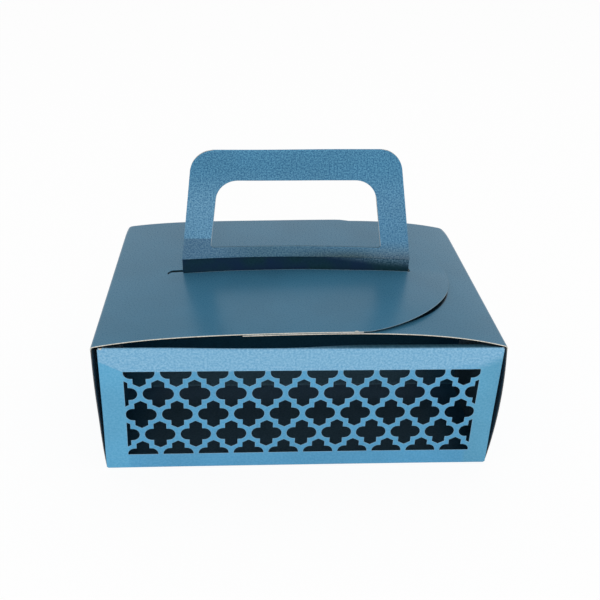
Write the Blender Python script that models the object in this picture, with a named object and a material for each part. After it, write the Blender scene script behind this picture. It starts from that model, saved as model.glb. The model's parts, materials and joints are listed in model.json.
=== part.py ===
"""Gift box of folded card, with lattice walls, two overlapping lids and a carrying handle.

Metres, +Z up, the front facing -Y. The origin is the centre of the underside.
Each panel starts as a flat outline in its own (u, v) plane. It is filled, thickened
by the board along w, and formed to its place: bent, leaned or wrapped round a fold.
"""

import math

import bmesh
import bpy

MM = 0.001

# Board and fits
BOARD = 0.7 * MM
CLEARANCE = 0.3 * MM  # between panels that lie on each other or meet at a fold

# Box
BOX_WIDTH = 240.8 * MM  # between the side folds of the front wall
BOX_DEPTH = 175 * MM
BOX_HEIGHT = 89.3 * MM  # from the table to the left lid's crease

# Side walls, which lean out towards the top and swell between their folds
LEFT_LEAN = 3.4 * MM
LEFT_SWELL = 1.3 * MM
RIGHT_LEAN = 2.0 * MM
RIGHT_SWELL = 2.8 * MM
WALL_STEPS = 8

# Corner flaps, glued inside the side walls
FLAP_LENGTH = 45 * MM
FLAP_DROP = 3 * MM  # below the rim
FLAP_SLOPE = 12 * MM  # cut off the free corners

# Hems, folded in behind the tops of the front and rear walls
HEM_DEPTH = 14.6 * MM
HEM_CORNER_RUN = 10.5 * MM
HEM_CORNER_RISE = 7.5 * MM
FOLD_STEPS = 6

# Lattice of quatrefoil cells in the front and rear walls
LATTICE_PITCH = 21.84 * MM  # between cells along a row
LATTICE_ROW = 15 * MM  # between rows, each offset by half a pitch
LATTICE_RIB = 3.1 * MM
LATTICE_SIDE_MARGIN = 13.4 * MM
LATTICE_TOP_MARGIN = 15.2 * MM
LATTICE_BOTTOM_MARGIN = 10.5 * MM
LATTICE_DROP = 1.3 * MM  # from the window's upper border to the centres of its first row
CELL_HEIGHT = 20.1 * MM
LOBE_HEIGHT = 8.6 * MM
SPIRE_POINT = 2.1 * MM  # height of the pointed end of a cell
LEAST_OPENING = 1.5 * MM  # a cut cell narrower than this is left out
LOBE_STEPS = 6

# Lids
LEFT_LID_LENGTH = 226.8 * MM  # from its crease to the tip of its round end
RIGHT_LID_LENGTH = 158.2 * MM
BOW_FRONT = 9.6 * MM  # rise of the lids' crown over their creases
BOW_BACK = 6.8 * MM
LID_STEPS_ACROSS = 20
LID_STEPS_DEEP = 8
TONGUE_STEPS = 24

# Slots in the lids, which the handle passes through
SLOT_WIDTH = 2.4 * MM
SLOT_LEAD = 9.7 * MM  # beyond the handle's foot at the left
SLOT_HOOK_RUN = 5 * MM
SLOT_HOOK_DROP = 2.8 * MM
SLOT_HOOK_STEPS = 4
SLOT_END_CLEARANCE = 0.7 * MM
SLIT_LEAD = 2 * MM  # beyond the handle's foot, in the lower lid

# Handle
CREASE_RISE = 7 * MM  # from the lids' crown to the handle's crease
HANDLE_FOOT_WIDTH = 154.4 * MM
HANDLE_TOP_WIDTH = 132 * MM
GRIP_HEIGHT = 76 * MM  # from the crease to the top of the grip
GRIP_BAR = 20.3 * MM
LEG_WIDTH = 18.3 * MM
WINDOW_SILL = 8.8 * MM  # from the crease up to the window
GRIP_RADIUS = 13.7 * MM
WINDOW_RADIUS = 13.5 * MM
WINDOW_FOOT_RADIUS = 1.5 * MM
CORNER_STEPS = 8
HINGE_OPENING = 0.5 * MM  # bare crease between the divider's neck and the handle
FRONT_PLY_RISE = 1.6 * MM  # the front ply starts this far over the crease

# Divider
FOOT_DEPTH = 25 * MM

LAYER = BOARD + CLEARANCE
HALF_WIDTH = BOX_WIDTH / 2
HALF_DEPTH = BOX_DEPTH / 2
LEFT_CREASE = -HALF_WIDTH - LEFT_LEAN
RIGHT_CREASE = HALF_WIDTH + RIGHT_LEAN
RIGHT_LID_HEIGHT = BOX_HEIGHT - LAYER
RIM = RIGHT_LID_HEIGHT - LAYER  # top of the front wall, rear wall and divider
CREASE_HEIGHT = BOX_HEIGHT + (BOW_FRONT + BOW_BACK) / 2 + CREASE_RISE
HANDLE_MIDDLE = -LAYER / 2  # the handle's two plies lie either side of this plane
TONGUE_CENTRE = LEFT_CREASE + LEFT_LID_LENGTH - HALF_DEPTH
FOLD_RADIUS = BOARD + CLEARANCE / 2


def material(name, colour, roughness, metallic):
    made = bpy.data.materials.new(name)
    made.use_nodes = True
    shader = made.node_tree.nodes["Principled BSDF"]
    shader.inputs["Base Color"].default_value = (*colour, 1)
    shader.inputs["Roughness"].default_value = roughness
    shader.inputs["Metallic"].default_value = metallic
    made.diffuse_color = (*colour, 1)
    return made


def pivot(name, place):
    """An empty on a joint's axis, which the pieces of that body hang from."""
    empty = bpy.data.objects.new(name, None)
    empty.empty_display_size = BOX_HEIGHT / 4
    empty.location = place
    bpy.context.scene.collection.objects.link(empty)
    return empty


def spaced(start, end, steps):
    """The places that divide start to end into equal steps, without the two ends."""
    return [start + (end - start) * step / steps for step in range(1, steps)]


def cut_across(bm, places, normal):
    for place in places:
        bmesh.ops.bisect_plane(
            bm,
            geom=bm.verts[:] + bm.edges[:] + bm.faces[:],
            plane_co=[place * along for along in normal],
            plane_no=normal,
        )


def panel(name, outline, form, made_of, holes=(), across=(), up=(), hung_from=None):
    """A panel of board. form(u, v, w) places it, with w running from 0 to BOARD."""
    bm = bmesh.new()
    for loop in (outline, *holes):
        corners = [bm.verts.new((u, v, 0)) for u, v in loop]
        for first, second in zip(corners, corners[1:] + corners[:1]):
            bm.edges.new((first, second))
    bmesh.ops.triangle_fill(bm, use_beauty=True, use_dissolve=False, edges=bm.edges[:])
    cut_across(bm, across, (1, 0, 0))
    cut_across(bm, up, (0, 1, 0))
    thickened = bmesh.ops.extrude_face_region(bm, geom=bm.faces[:])["geom"]
    for item in thickened:
        if isinstance(item, bmesh.types.BMVert):
            item.co.z = BOARD
    origin = hung_from.location if hung_from else (0, 0, 0)
    for vertex in bm.verts:
        placed = form(*vertex.co)
        vertex.co = [value - start for value, start in zip(placed, origin)]
    bmesh.ops.recalc_face_normals(bm, faces=bm.faces[:])
    if bm.calc_volume(signed=True) < 0:
        bmesh.ops.reverse_faces(bm, faces=bm.faces[:])
    bmesh.ops.triangulate(bm, faces=bm.faces[:])
    mesh = bpy.data.meshes.new(name)
    bm.to_mesh(mesh)
    bm.free()
    mesh.shade_smooth()
    mesh.set_sharp_from_angle(angle=math.radians(35))
    mesh.materials.append(made_of)
    made = bpy.data.objects.new(name, mesh)
    made.parent = hung_from
    bpy.context.scene.collection.objects.link(made)
    return made


def rounded(corners, steps=CORNER_STEPS):
    """An outline whose (u, v, radius) corners are filleted, each with an arc of some steps."""
    outline = []
    for index, (u, v, radius) in enumerate(corners):
        if not radius:
            outline.append((u, v))
            continue
        before = corners[index - 1]
        after = corners[(index + 1) % len(corners)]
        into = math.atan2(v - before[1], u - before[0])
        turn = math.atan2(after[1] - v, after[0] - u) - into
        turn = (turn + math.pi) % (2 * math.pi) - math.pi
        setback = radius * math.tan(abs(turn) / 2)
        side = math.copysign(1, turn)
        start = (u - setback * math.cos(into), v - setback * math.sin(into))
        centre = (start[0] - side * radius * math.sin(into), start[1] + side * radius * math.cos(into))
        for step in range(steps + 1):
            angle = into + turn * step / steps
            outline.append(
                (centre[0] + side * radius * math.sin(angle), centre[1] - side * radius * math.cos(angle))
            )
    return outline


def clipped(outline, axis, limit, keep):
    """The part of an outline on one side of limit along axis; keep is 1 for above, -1 for below."""
    kept = []
    for first, second in zip(outline, outline[1:] + outline[:1]):
        over = keep * (first[axis] - limit)
        next_over = keep * (second[axis] - limit)
        if over >= 0:
            kept.append(first)
        if over * next_over < 0:
            share = over / (over - next_over)
            kept.append(tuple(a + (b - a) * share for a, b in zip(first, second)))
    return kept


def cell():
    """One quatrefoil opening about its own centre: round side lobes, pointed spires, square notches."""
    half_width = (LATTICE_PITCH - LATTICE_RIB) / 2
    half_spire = (LATTICE_PITCH / 2 - LATTICE_RIB) / 2
    half_lobe = LOBE_HEIGHT / 2
    tip = CELL_HEIGHT / 2
    shoulder = tip - SPIRE_POINT
    lobe_centre = half_width - half_lobe
    right = []
    for step in range(LOBE_STEPS + 1):
        angle = math.pi * (step / LOBE_STEPS - 1 / 2)
        right.append((lobe_centre + half_lobe * math.cos(angle), half_lobe * math.sin(angle)))
    spire = [(half_spire, half_lobe), (half_spire, shoulder), (0, tip), (-half_spire, shoulder)]
    spire.append((-half_spire, half_lobe))
    left = [(-u, -v) for u, v in right]
    return right + spire + left + [(-u, -v) for u, v in spire]


def lattice():
    """Every opening of a lattice wall, those at the edges cut along the window's border."""
    side = HALF_WIDTH - LATTICE_SIDE_MARGIN
    bottom = LATTICE_BOTTOM_MARGIN
    top = RIM - LATTICE_TOP_MARGIN
    rows = round((top - bottom) / LATTICE_ROW)
    columns = math.ceil(side / LATTICE_PITCH)
    openings = []
    for row in range(rows + 1):
        height = top - LATTICE_DROP - row * LATTICE_ROW
        offset = LATTICE_PITCH / 2 if row % 2 == 0 else 0
        for column in range(-columns - 1, columns + 1):
            centre = column * LATTICE_PITCH + offset
            opening = [(u + centre, v + height) for u, v in cell()]
            opening = clipped(opening, 0, -side, 1)
            opening = clipped(opening, 0, side, -1)
            opening = clipped(opening, 1, top, -1)
            opening = clipped(opening, 1, bottom, 1)
            if len(opening) < 3:
                continue
            spans = [max(place) - min(place) for place in zip(*opening)]
            if min(spans) > LEAST_OPENING:
                openings.append(opening)
    return openings


def base_panel(made_of):
    u = HALF_WIDTH - LAYER
    v = HALF_DEPTH - LAYER
    outline = [(-u, -v), (u, -v), (u, v), (-u, v)]
    panel("base_panel", outline, lambda u, v, w: (u, v, w), made_of)


def lattice_walls(made_of):
    top = RIM - FOLD_RADIUS - CLEARANCE
    outline = [(-HALF_WIDTH, 0), (HALF_WIDTH, 0), (HALF_WIDTH, top), (-HALF_WIDTH, top)]
    openings = lattice()
    panel("front_wall", outline, lambda u, v, w: (u, w - HALF_DEPTH, v), made_of, openings)
    panel("rear_wall", outline, lambda u, v, w: (u, HALF_DEPTH - w, v), made_of, openings)


def hems(made_of):
    """The board rolled over each lattice wall's top edge and down behind it, as a J in section."""
    half = HALF_WIDTH - LAYER - LAYER
    roll = math.pi * FOLD_RADIUS
    foot = roll + HEM_DEPTH
    corner = foot - HEM_CORNER_RISE
    outline = [(-half, 0), (half, 0), (half, corner), (half - HEM_CORNER_RUN, foot)]
    outline += [(HEM_CORNER_RUN - half, foot), (-half, corner)]

    def wrapped(v, w):
        angle = min(v / FOLD_RADIUS, math.pi)
        past = max(v - roll, 0)
        radius = FOLD_RADIUS - w
        inwards = FOLD_RADIUS - radius * math.cos(angle)
        return inwards, RIM - FOLD_RADIUS + radius * math.sin(angle) - past

    def front(u, v, w):
        inwards, height = wrapped(v, w)
        return u, inwards - HALF_DEPTH, height

    def rear(u, v, w):
        inwards, height = wrapped(v, w)
        return u, HALF_DEPTH - inwards, height

    bends = spaced(0, roll, FOLD_STEPS) + [roll]
    panel("front_hem", outline, front, made_of, up=bends)
    panel("rear_hem", outline, rear, made_of, up=bends)


def side_wall(name, side, lean, swell, height, made_of):
    """A side wall. Its front and rear edges stop just behind the lattice walls."""
    v = HALF_DEPTH - LAYER
    outline = [(0, -v), (height, -v), (height, v), (0, v)]

    def form(u, v, w):
        share = u / height
        spread = lean * share + 4 * swell * share * (1 - share)
        return side * (HALF_WIDTH + spread - w), v, u

    panel(name, outline, form, made_of, across=spaced(0, height, WALL_STEPS))


def corner_flaps(made_of):
    bottom = LAYER
    top = RIM - FLAP_DROP
    start = HALF_DEPTH - LAYER
    end = start - FLAP_LENGTH
    outline = [(start, bottom), (start, top), (end + FLAP_SLOPE, top)]
    outline += [(end, top - FLAP_SLOPE), (end, bottom + FLAP_SLOPE), (end + FLAP_SLOPE, bottom)]
    face = HALF_WIDTH - LAYER
    for across, side in (("left", -1), ("right", 1)):
        for along, end_side in (("front", -1), ("rear", 1)):

            def form(u, v, w, side=side, end_side=end_side):
                return side * (face - w), end_side * u, v

            panel(f"{along}_{across}_flap", outline, form, made_of)


def lid_rise(x, y):
    """How far the lids' surface stands over the line between their creases."""
    middle = (LEFT_CREASE + RIGHT_CREASE) / 2
    share = (x - middle) / (RIGHT_CREASE - middle)
    back_share = (y + HALF_DEPTH) / BOX_DEPTH
    bow = BOW_FRONT + (BOW_BACK - BOW_FRONT) * back_share
    return bow * (1 - share * share)


def half_handle(height):
    """Half the handle's width at a height over its crease."""
    narrowing = (HANDLE_FOOT_WIDTH - HANDLE_TOP_WIDTH) / 2
    return HANDLE_FOOT_WIDTH / 2 - narrowing * height / GRIP_HEIGHT


def handle_outline(bottom, top):
    foot = half_handle(bottom)
    head = half_handle(top)
    corners = [(-foot, bottom, 0), (foot, bottom, 0), (head, top, GRIP_RADIUS), (-head, top, GRIP_RADIUS)]
    return rounded(corners)


def window_outline():
    bottom = WINDOW_SILL
    top = GRIP_HEIGHT - GRIP_BAR
    foot = half_handle(bottom) - LEG_WIDTH
    head = half_handle(top) - LEG_WIDTH
    corners = [(-foot, bottom, WINDOW_FOOT_RADIUS), (foot, bottom, WINDOW_FOOT_RADIUS)]
    corners += [(head, top, WINDOW_RADIUS), (-head, top, WINDOW_RADIUS)]
    return rounded(corners)


def handle_reach():
    """The farthest point of the handle from the left lid's crease, which its slot has to pass."""
    rise = CREASE_HEIGHT - BOX_HEIGHT
    return max(math.hypot(u - LEFT_CREASE, v + rise) for u, v in handle_outline(0, GRIP_HEIGHT))


def slot_outline():
    """The closed slot in the left lid, with its left end hooked towards the front."""
    half = SLOT_WIDTH / 2
    left = -HANDLE_FOOT_WIDTH / 2 - SLOT_LEAD
    right = LEFT_CREASE + handle_reach() + SLOT_END_CLEARANCE
    middle = []
    for step in range(SLOT_HOOK_STEPS + 1):
        angle = math.pi / 2 * step / SLOT_HOOK_STEPS
        u = left + SLOT_HOOK_RUN * (1 - math.cos(angle))
        v = HANDLE_MIDDLE - SLOT_HOOK_DROP * (1 - math.sin(angle))
        slope = math.atan2(SLOT_HOOK_DROP * math.cos(angle), SLOT_HOOK_RUN * math.sin(angle))
        middle.append((u, v, slope))
    middle.append((right, HANDLE_MIDDLE, 0))
    lower = [(u + half * math.sin(slope), v - half * math.cos(slope)) for u, v, slope in middle]
    upper = [(u - half * math.sin(slope), v + half * math.cos(slope)) for u, v, slope in middle]
    return lower + upper[::-1]


def lid(name, outline, height, made_of, hung_from, holes=()):
    def form(u, v, w):
        return u, v, height + lid_rise(u, v) - w

    across = spaced(LEFT_CREASE, RIGHT_CREASE, LID_STEPS_ACROSS)
    deep = spaced(-HALF_DEPTH, HALF_DEPTH, LID_STEPS_DEEP)
    panel(name, outline, form, made_of, holes, across, deep, hung_from)


def left_lid(made_of, hung_from):
    """The upper lid: a straight panel with a semicircular end, and the slot for the handle."""
    outline = [(LEFT_CREASE, HALF_DEPTH), (LEFT_CREASE, -HALF_DEPTH)]
    for step in range(TONGUE_STEPS + 1):
        angle = math.pi * (step / TONGUE_STEPS - 1 / 2)
        outline.append((TONGUE_CENTRE + HALF_DEPTH * math.cos(angle), HALF_DEPTH * math.sin(angle)))
    lid("left_lid", outline, BOX_HEIGHT, made_of, hung_from, [slot_outline()])


def right_lid(made_of, hung_from):
    """The lower lid, slit from its free edge so that it slides in round the handle."""
    free = RIGHT_CREASE - RIGHT_LID_LENGTH
    slit = HANDLE_FOOT_WIDTH / 2 + SLIT_LEAD
    low = HANDLE_MIDDLE - SLOT_WIDTH / 2
    high = HANDLE_MIDDLE + SLOT_WIDTH / 2
    outline = [(RIGHT_CREASE, -HALF_DEPTH), (RIGHT_CREASE, HALF_DEPTH), (free, HALF_DEPTH)]
    outline += [(free, high), (slit, high), (slit, low), (free, low), (free, -HALF_DEPTH)]
    lid("right_lid", outline, RIGHT_LID_HEIGHT, made_of, hung_from)


def divider(made_of):
    """The upright card at mid depth, whose neck stands up through both slots to the crease."""
    half = HALF_WIDTH - LAYER
    neck = HANDLE_FOOT_WIDTH / 2
    top = CREASE_HEIGHT - HINGE_OPENING
    outline = [(-half, LAYER), (half, LAYER), (half, RIM), (neck, RIM), (neck, top)]
    outline += [(-neck, top), (-neck, RIM), (-half, RIM)]
    panel("divider", outline, lambda u, v, w: (u, w - BOARD / 2, v), made_of)


def divider_foot(made_of):
    """The flange glued to the base, which carries the box's load to the handle."""
    half = HALF_WIDTH - LAYER - LAYER
    start = BOARD / 2 + CLEARANCE
    end = start + FOOT_DEPTH
    outline = [(-half, start), (half, start), (half, end), (-half, end)]
    panel("divider_foot", outline, lambda u, v, w: (u, v, LAYER + w), made_of)


def handle(made_of, hung_from):
    """Two plies of board, joined by a fold along the grip's top edge."""
    ply_top = GRIP_HEIGHT - FOLD_RADIUS - CLEARANCE
    window = [window_outline()]
    rear_outline = handle_outline(BOARD / 2, ply_top)
    panel(
        "handle_rear_ply",
        rear_outline,
        lambda u, v, w: (u, w - BOARD / 2, CREASE_HEIGHT + v),
        made_of,
        window,
        hung_from=hung_from,
    )
    panel(
        "handle_front_ply",
        handle_outline(FRONT_PLY_RISE, ply_top),
        lambda u, v, w: (u, w - BOARD / 2 - LAYER, CREASE_HEIGHT + v),
        made_of,
        window,
        hung_from=hung_from,
    )
    half = half_handle(GRIP_HEIGHT) - GRIP_RADIUS
    roll = math.pi * FOLD_RADIUS
    outline = [(-half, 0), (half, 0), (half, roll), (-half, roll)]

    def form(u, v, w):
        angle = v / FOLD_RADIUS
        radius = FOLD_RADIUS - w
        height = CREASE_HEIGHT + GRIP_HEIGHT - FOLD_RADIUS + radius * math.sin(angle)
        return u, HANDLE_MIDDLE - radius * math.cos(angle), height

    bends = spaced(0, roll, FOLD_STEPS)
    panel("handle_top_fold", outline, form, made_of, up=bends, hung_from=hung_from)


def main():
    for old in list(bpy.data.objects):
        bpy.data.objects.remove(old, do_unlink=True)
    wall_card = material("wall_card", (0.125, 0.365, 0.578), 0.38, 0.25)
    lid_card = material("lid_card", (0.098, 0.195, 0.275), 0.34, 0.25)
    handle_card = material("handle_card", (0.070, 0.216, 0.376), 0.42, 0.25)
    inner_card = material("inner_card", (0.010, 0.022, 0.036), 0.7, 0)

    base_panel(inner_card)
    lattice_walls(wall_card)
    hems(wall_card)
    left_height = BOX_HEIGHT - LAYER
    right_height = RIGHT_LID_HEIGHT - LAYER
    side_wall("left_wall", -1, LEFT_LEAN, LEFT_SWELL, left_height, wall_card)
    side_wall("right_wall", 1, RIGHT_LEAN, RIGHT_SWELL, right_height, wall_card)
    corner_flaps(wall_card)
    divider(inner_card)
    divider_foot(inner_card)
    left_lid(lid_card, pivot("left_lid_axis", (LEFT_CREASE, 0, BOX_HEIGHT)))
    right_lid(lid_card, pivot("right_lid_axis", (RIGHT_CREASE, 0, RIGHT_LID_HEIGHT)))
    handle(handle_card, pivot("handle_axis", (0, 0, CREASE_HEIGHT)))


main()
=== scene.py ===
"""Looks of a gift box folded from pearl card: lattice walls, overlapping lids, carrying handle.

Each card is a flat die-cut outline in its own (u, v) plane. It is filled, given its cut rim
and its thickness w, and then formed to its place by a function of (u, v, w).
The outside of the card is at w = 0 and its dark reverse at w = BOARD.
"""

import json
from math import asin, atan2, ceil, copysign, cos, hypot, pi, radians, sin, tan

import bmesh
import bpy
from bmesh import ops
from mathutils import Euler, Matrix, Vector


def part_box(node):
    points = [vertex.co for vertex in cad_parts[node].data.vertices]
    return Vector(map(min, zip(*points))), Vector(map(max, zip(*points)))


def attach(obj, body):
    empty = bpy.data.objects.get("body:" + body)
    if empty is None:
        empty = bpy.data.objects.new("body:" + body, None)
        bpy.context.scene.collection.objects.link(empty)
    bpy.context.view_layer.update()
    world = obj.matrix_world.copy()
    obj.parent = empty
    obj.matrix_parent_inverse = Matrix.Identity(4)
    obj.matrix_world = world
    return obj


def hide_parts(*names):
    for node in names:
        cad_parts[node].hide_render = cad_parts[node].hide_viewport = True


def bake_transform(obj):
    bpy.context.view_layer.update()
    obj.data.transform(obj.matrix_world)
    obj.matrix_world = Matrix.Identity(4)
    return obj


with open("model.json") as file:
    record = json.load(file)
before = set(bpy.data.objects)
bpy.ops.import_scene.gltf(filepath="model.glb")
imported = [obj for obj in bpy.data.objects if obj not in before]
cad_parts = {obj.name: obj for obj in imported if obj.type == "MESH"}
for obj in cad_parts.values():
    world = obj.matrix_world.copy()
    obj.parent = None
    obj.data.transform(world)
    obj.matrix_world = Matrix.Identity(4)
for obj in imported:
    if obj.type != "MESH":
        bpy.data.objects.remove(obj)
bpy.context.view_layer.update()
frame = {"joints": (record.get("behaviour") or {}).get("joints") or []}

MM = 0.001

# Sizes read from the frame
HINGES = {joint["name"]: Vector(joint["pos_m"]) for joint in frame["joints"]}
LEFT_HINGE, RIGHT_HINGE = HINGES["left_lid_hinge"], HINGES["right_lid_hinge"]
LEFT_CREASE, RIGHT_CREASE = LEFT_HINGE.x, RIGHT_HINGE.x
LID_HEIGHT = {-1: LEFT_HINGE.z, 1: RIGHT_HINGE.z}  # for the left (-1) and the right side (1)
HANDLE_CREASE = HINGES["handle_fold"].z
HALF_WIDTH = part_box("front_wall")[1].x
HALF_DEPTH = -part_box("front_wall")[0].y
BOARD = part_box("front_wall")[1].y + HALF_DEPTH
SIDE_HALF_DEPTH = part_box("left_wall")[1].y
LAYER = HALF_DEPTH - SIDE_HALF_DEPTH
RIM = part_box("front_hem")[1].z
HEM_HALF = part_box("front_hem")[1].x
HEM_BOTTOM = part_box("front_hem")[0].z
HANDLE_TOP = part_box("handle_top_fold")[1].z

# Cut card
CUT_RIM = 0.24 * MM  # width of the pressed rim beside every cut
CUT_ROUND = 0.1 * MM  # how far that rim is rounded over
BEND_STEPS = 8  # facets in a quarter turn
SHARP_ANGLE = radians(17)
CARD_MAP = "card"
CUT_REACH = 1e-7  # a cut runs through corners this near to it
NEAR = 0.1 * MM  # this near an edge counts as on it
TORN_WIDTH = 1.8 * MM  # how ragged a torn corner is
HEM_TEAR = 1.1 * MM
CREASE_TEAR = 0.9 * MM
TONGUE_TEAR = 1.2 * MM

# Folds
CORNER_ROLL = 0.75 * MM  # outer radius of the walls' corners and lower edges
HEM_ROLL = BOARD + (LAYER - BOARD) / 2
LID_ROLL = 2 * MM  # how far the lids' creases round off either way
REAR_ROLL = {-1: 4 * MM, 1: 5.6 * MM}  # the creases open out at their rear ends
REAR_ROLL_START = 62 * MM
REAR_ROLL_REACH = 30 * MM

# Walls
LEAN = {-1: -LEFT_CREASE - HALF_WIDTH, 1: RIGHT_CREASE - HALF_WIDTH}
SWELL = {-1: 1.3 * MM, 1: 2.8 * MM}
RACK = 0.8 * MM  # the box leans this far to the right over its height
FOOT_SPREAD = 0.5 * MM  # the walls stand wider at their foot
FOOT_HOLLOW = 0.4 * MM  # the middle of the front wall's foot lies back
WALL_WAVE = 0.12 * MM  # the lattice walls aren't quite flat
WAVE_RUN = 31 * MM
WAVE_RISE = 24 * MM
WAVE_START = 0.6
WALL_CELL = 6 * MM

# Corner flaps
FLAP_LENGTH = 45 * MM
FLAP_FOOT = 4 * MM
FLAP_DROP = 3 * MM
FLAP_SLOPE = 12 * MM
FLAP_TUCK = 5 * MM

# Hems
HEM_CORNER_RUN = 12.5 * MM
HEM_CORNER_RISE = 6.2 * MM
HEM_RELIEF = 0.13 * MM  # how far the single board lies behind the doubled one
HEM_RELIEF_WIDTH = 0.9 * MM
RIM_LIFT = 1 * MM  # the front wall's left end stands this much higher
HEM_LOOSE = 4 * MM  # the front's hem stands open this far in its right half

# Lattice of quatrefoil cells
LATTICE_PITCH = 21.78 * MM
LATTICE_ROW = 15 * MM
LATTICE_RIB = 3.1 * MM
LATTICE_SHIFT = 0.7 * MM  # the front's cells and window sit this far to the right
LATTICE_DROP = 1.3 * MM
LATTICE_TILT = 1.2 * MM  # the front's rows fall this much to the right at the top
LATTICE_SIDE = HALF_WIDTH - 13.2 * MM
LATTICE_TOP = RIM - 15.2 * MM
LATTICE_BOTTOM = 10.5 * MM
CELL_HEIGHT = 20.1 * MM
LOBE_HEIGHT = 8.6 * MM
SPIRE_POINT = 2.1 * MM
LEAST_OPENING = 1.5 * MM
LOBE_STEPS = 10

# Lids
LEFT_LID_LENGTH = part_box("left_lid")[1].x - LEFT_CREASE
RIGHT_LID_LENGTH = RIGHT_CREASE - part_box("right_lid")[0].x
BOW_FRONT = 9.3 * MM
BOW_BACK = 6.2 * MM
BOW_MIDDLE = 0.4 * MM  # how much higher the lids are at mid depth
BOW_SKEW = 2.4 * MM  # the bow is higher on the right than on the left
BOW_FULLNESS = 5.8 * MM  # and rounder towards both creases than a parabola
LID_CELL = 4 * MM
TONGUE_STEPS = 72
TONGUE_FULLNESS = 2.8 * MM  # the round end is this much fuller than a half circle
FULL_START = radians(30)
FULL_END = radians(75)
DARK_EDGE_START = 19 * MM  # where the round end's edge is painted dark as shade
TONGUE_SHADOW_WIDTH = 4 * MM  # of the painted shadow line under the tongue, on the lower lid
TONGUE_SHADOW_CORNER = 0.62  # that corner's place, as a share of the half depth
TONGUE_LIFT = 1.7 * MM  # the round end's front corner stands off the lower lid
SLOT_WIDTH = 3 * MM
SLOT_LEFT = -86 * MM
SLOT_RIGHT = 77.4 * MM
SLIT_WIDTH = 2.9 * MM  # left of the neck the slot is narrower, and hooks towards the front
SLIT_LEVEL = 0.6 * MM
SLIT_HOOK_RUN = 2.6 * MM
SLIT_HOOK_DROP = 2.6 * MM
SLIT_BURR = 1.3 * MM  # the board has split on the slit's rear lip and hangs down this far
SLIT_HOOK_STEPS = 8
SLOT_PUSH_LEFT = 1 * MM  # the neck presses the front lip outwards at its left end
SLOT_PUSH_RIGHT = 2 * MM  # and over its right half
SLOT_FRONT = -(LAYER + SLOT_WIDTH) / 2
SLOT_BACK = SLOT_FRONT + SLOT_WIDTH
LOWER_SLIT_END = 79.2 * MM

# Handle and divider
FOOT_HALF = 152.8 * MM / 2
TOP_HALF = 131.3 * MM / 2
HANDLE_RISE = HANDLE_TOP - HANDLE_CREASE
GRIP_BAR = 20.3 * MM
LEFT_LEG_WIDTH = 18.1 * MM
RIGHT_LEG_TOP = 18.7 * MM
RIGHT_LEG_FOOT = 19.1 * MM
WINDOW_SILL = 8.4 * MM
SILL = HANDLE_CREASE + WINDOW_SILL  # its height over the ground
SILL_ARCH = 1 * MM  # the window's sill is this much higher in the middle
LEFT_GRIP_RADIUS = 16.4 * MM
RIGHT_GRIP_RADIUS = 15.2 * MM
LEFT_WINDOW_RADIUS = 14.6 * MM
RIGHT_WINDOW_RADIUS = 14 * MM
WINDOW_FOOT_RADIUS = 1.5 * MM
CORNER_STEPS = 16
HANDLE_CELL = 5 * MM
GRIP_HALF = HANDLE_RISE / 2  # the window's rims show up to here
FRONT_PLY_RISE = 1.9 * MM
FRONT_PLY_DIP = 2.4 * MM  # the front ply's lower edge runs lower at its ends
HANDLE_FOOT_SHIFT = 0.45 * MM
NECK_LEFT = HANDLE_FOOT_SHIFT - FOOT_HALF
HANDLE_TOP_SHIFT = -1.45 * MM
HANDLE_DROOP = 0.5 * MM  # the grip's left half lies this much lower
HANDLE_TWIST = 2 * MM  # the grip's left end stands this much forward, its right end back
HANDLE_FOLD_MIDDLE = HANDLE_TOP - HEM_ROLL + pi / 2 * HEM_ROLL  # on the flat card
SHADED_FOOT_RISE = 6.6 * MM  # the legs are painted in shade up to this height over the window's sill
CREASE_HALF = 0.7 * MM  # half the height of the strip bent at the handle's crease
FOOT_DEPTH = 25 * MM
FOOT_ROLL = 0.6 * MM

# Relief of the board
MICA_FINENESS = 2.6  # mica flakes to one grain
MICA_SHARE = 0.3
MOTTLE_SCALE = 22  # patches in a metre
MOTTLE_DEPTH = 0.05
PEARL_SWING = 0.04  # how far the roughness follows the relief
FIBRE_SWING = 0.06
FIBRE_DEPTH = 0.02 * MM
RIM_DEPTH = 0.01 * MM
PATCH_SCALE = 40
SPECKLE_SCALE = 900

# Tones, as linear red, green and blue; a pair is for the relief's valleys and crests
TORN_BOARD = (0.6, 0.57, 0.49)
NECK_PATCHES = (0.006, 0.024, 0.062)
# painted shade: the neck's pearl is drawn dark, as in shade
NECK_SHADED_PEARL = ((0.018, 0.07, 0.115), (0.13, 0.24, 0.325))
# painted light on the divider's lower half and its foot
DIVIDER_FOOT_LIGHT = ((0.095, 0.185, 0.25), (0.13, 0.24, 0.32))
DIVIDER_LOWER_LIGHT = ((0.04, 0.088, 0.124), (0.056, 0.114, 0.158))
DIVIDER_INNER = ((0.004, 0.036, 0.066), (0.008, 0.05, 0.086))
# painted highlight on the hem, and painted shade over the top of its fold
HEM_HIGHLIGHT_TONES = ((0.105, 0.33, 0.545), (0.27, 0.51, 0.7))
HEM_SHADED = ((0.022, 0.105, 0.165), (0.048, 0.175, 0.26))
# painted highlight along the slot's front lip
LIP_HIGHLIGHT_TONE = (0.32, 0.46, 0.54)
LIP_HIGHLIGHT_SHARE = 0.6
# painted shadow under the upper lid's tongue
TONGUE_SHADOW_TONE = (0.002, 0.01, 0.018)

# Tints, by which a tone is multiplied; a pair runs from left to right
MARGIN_TINTS = ((1.22, 1.13, 1.07), (1.14, 1.02, 0.94))
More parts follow.
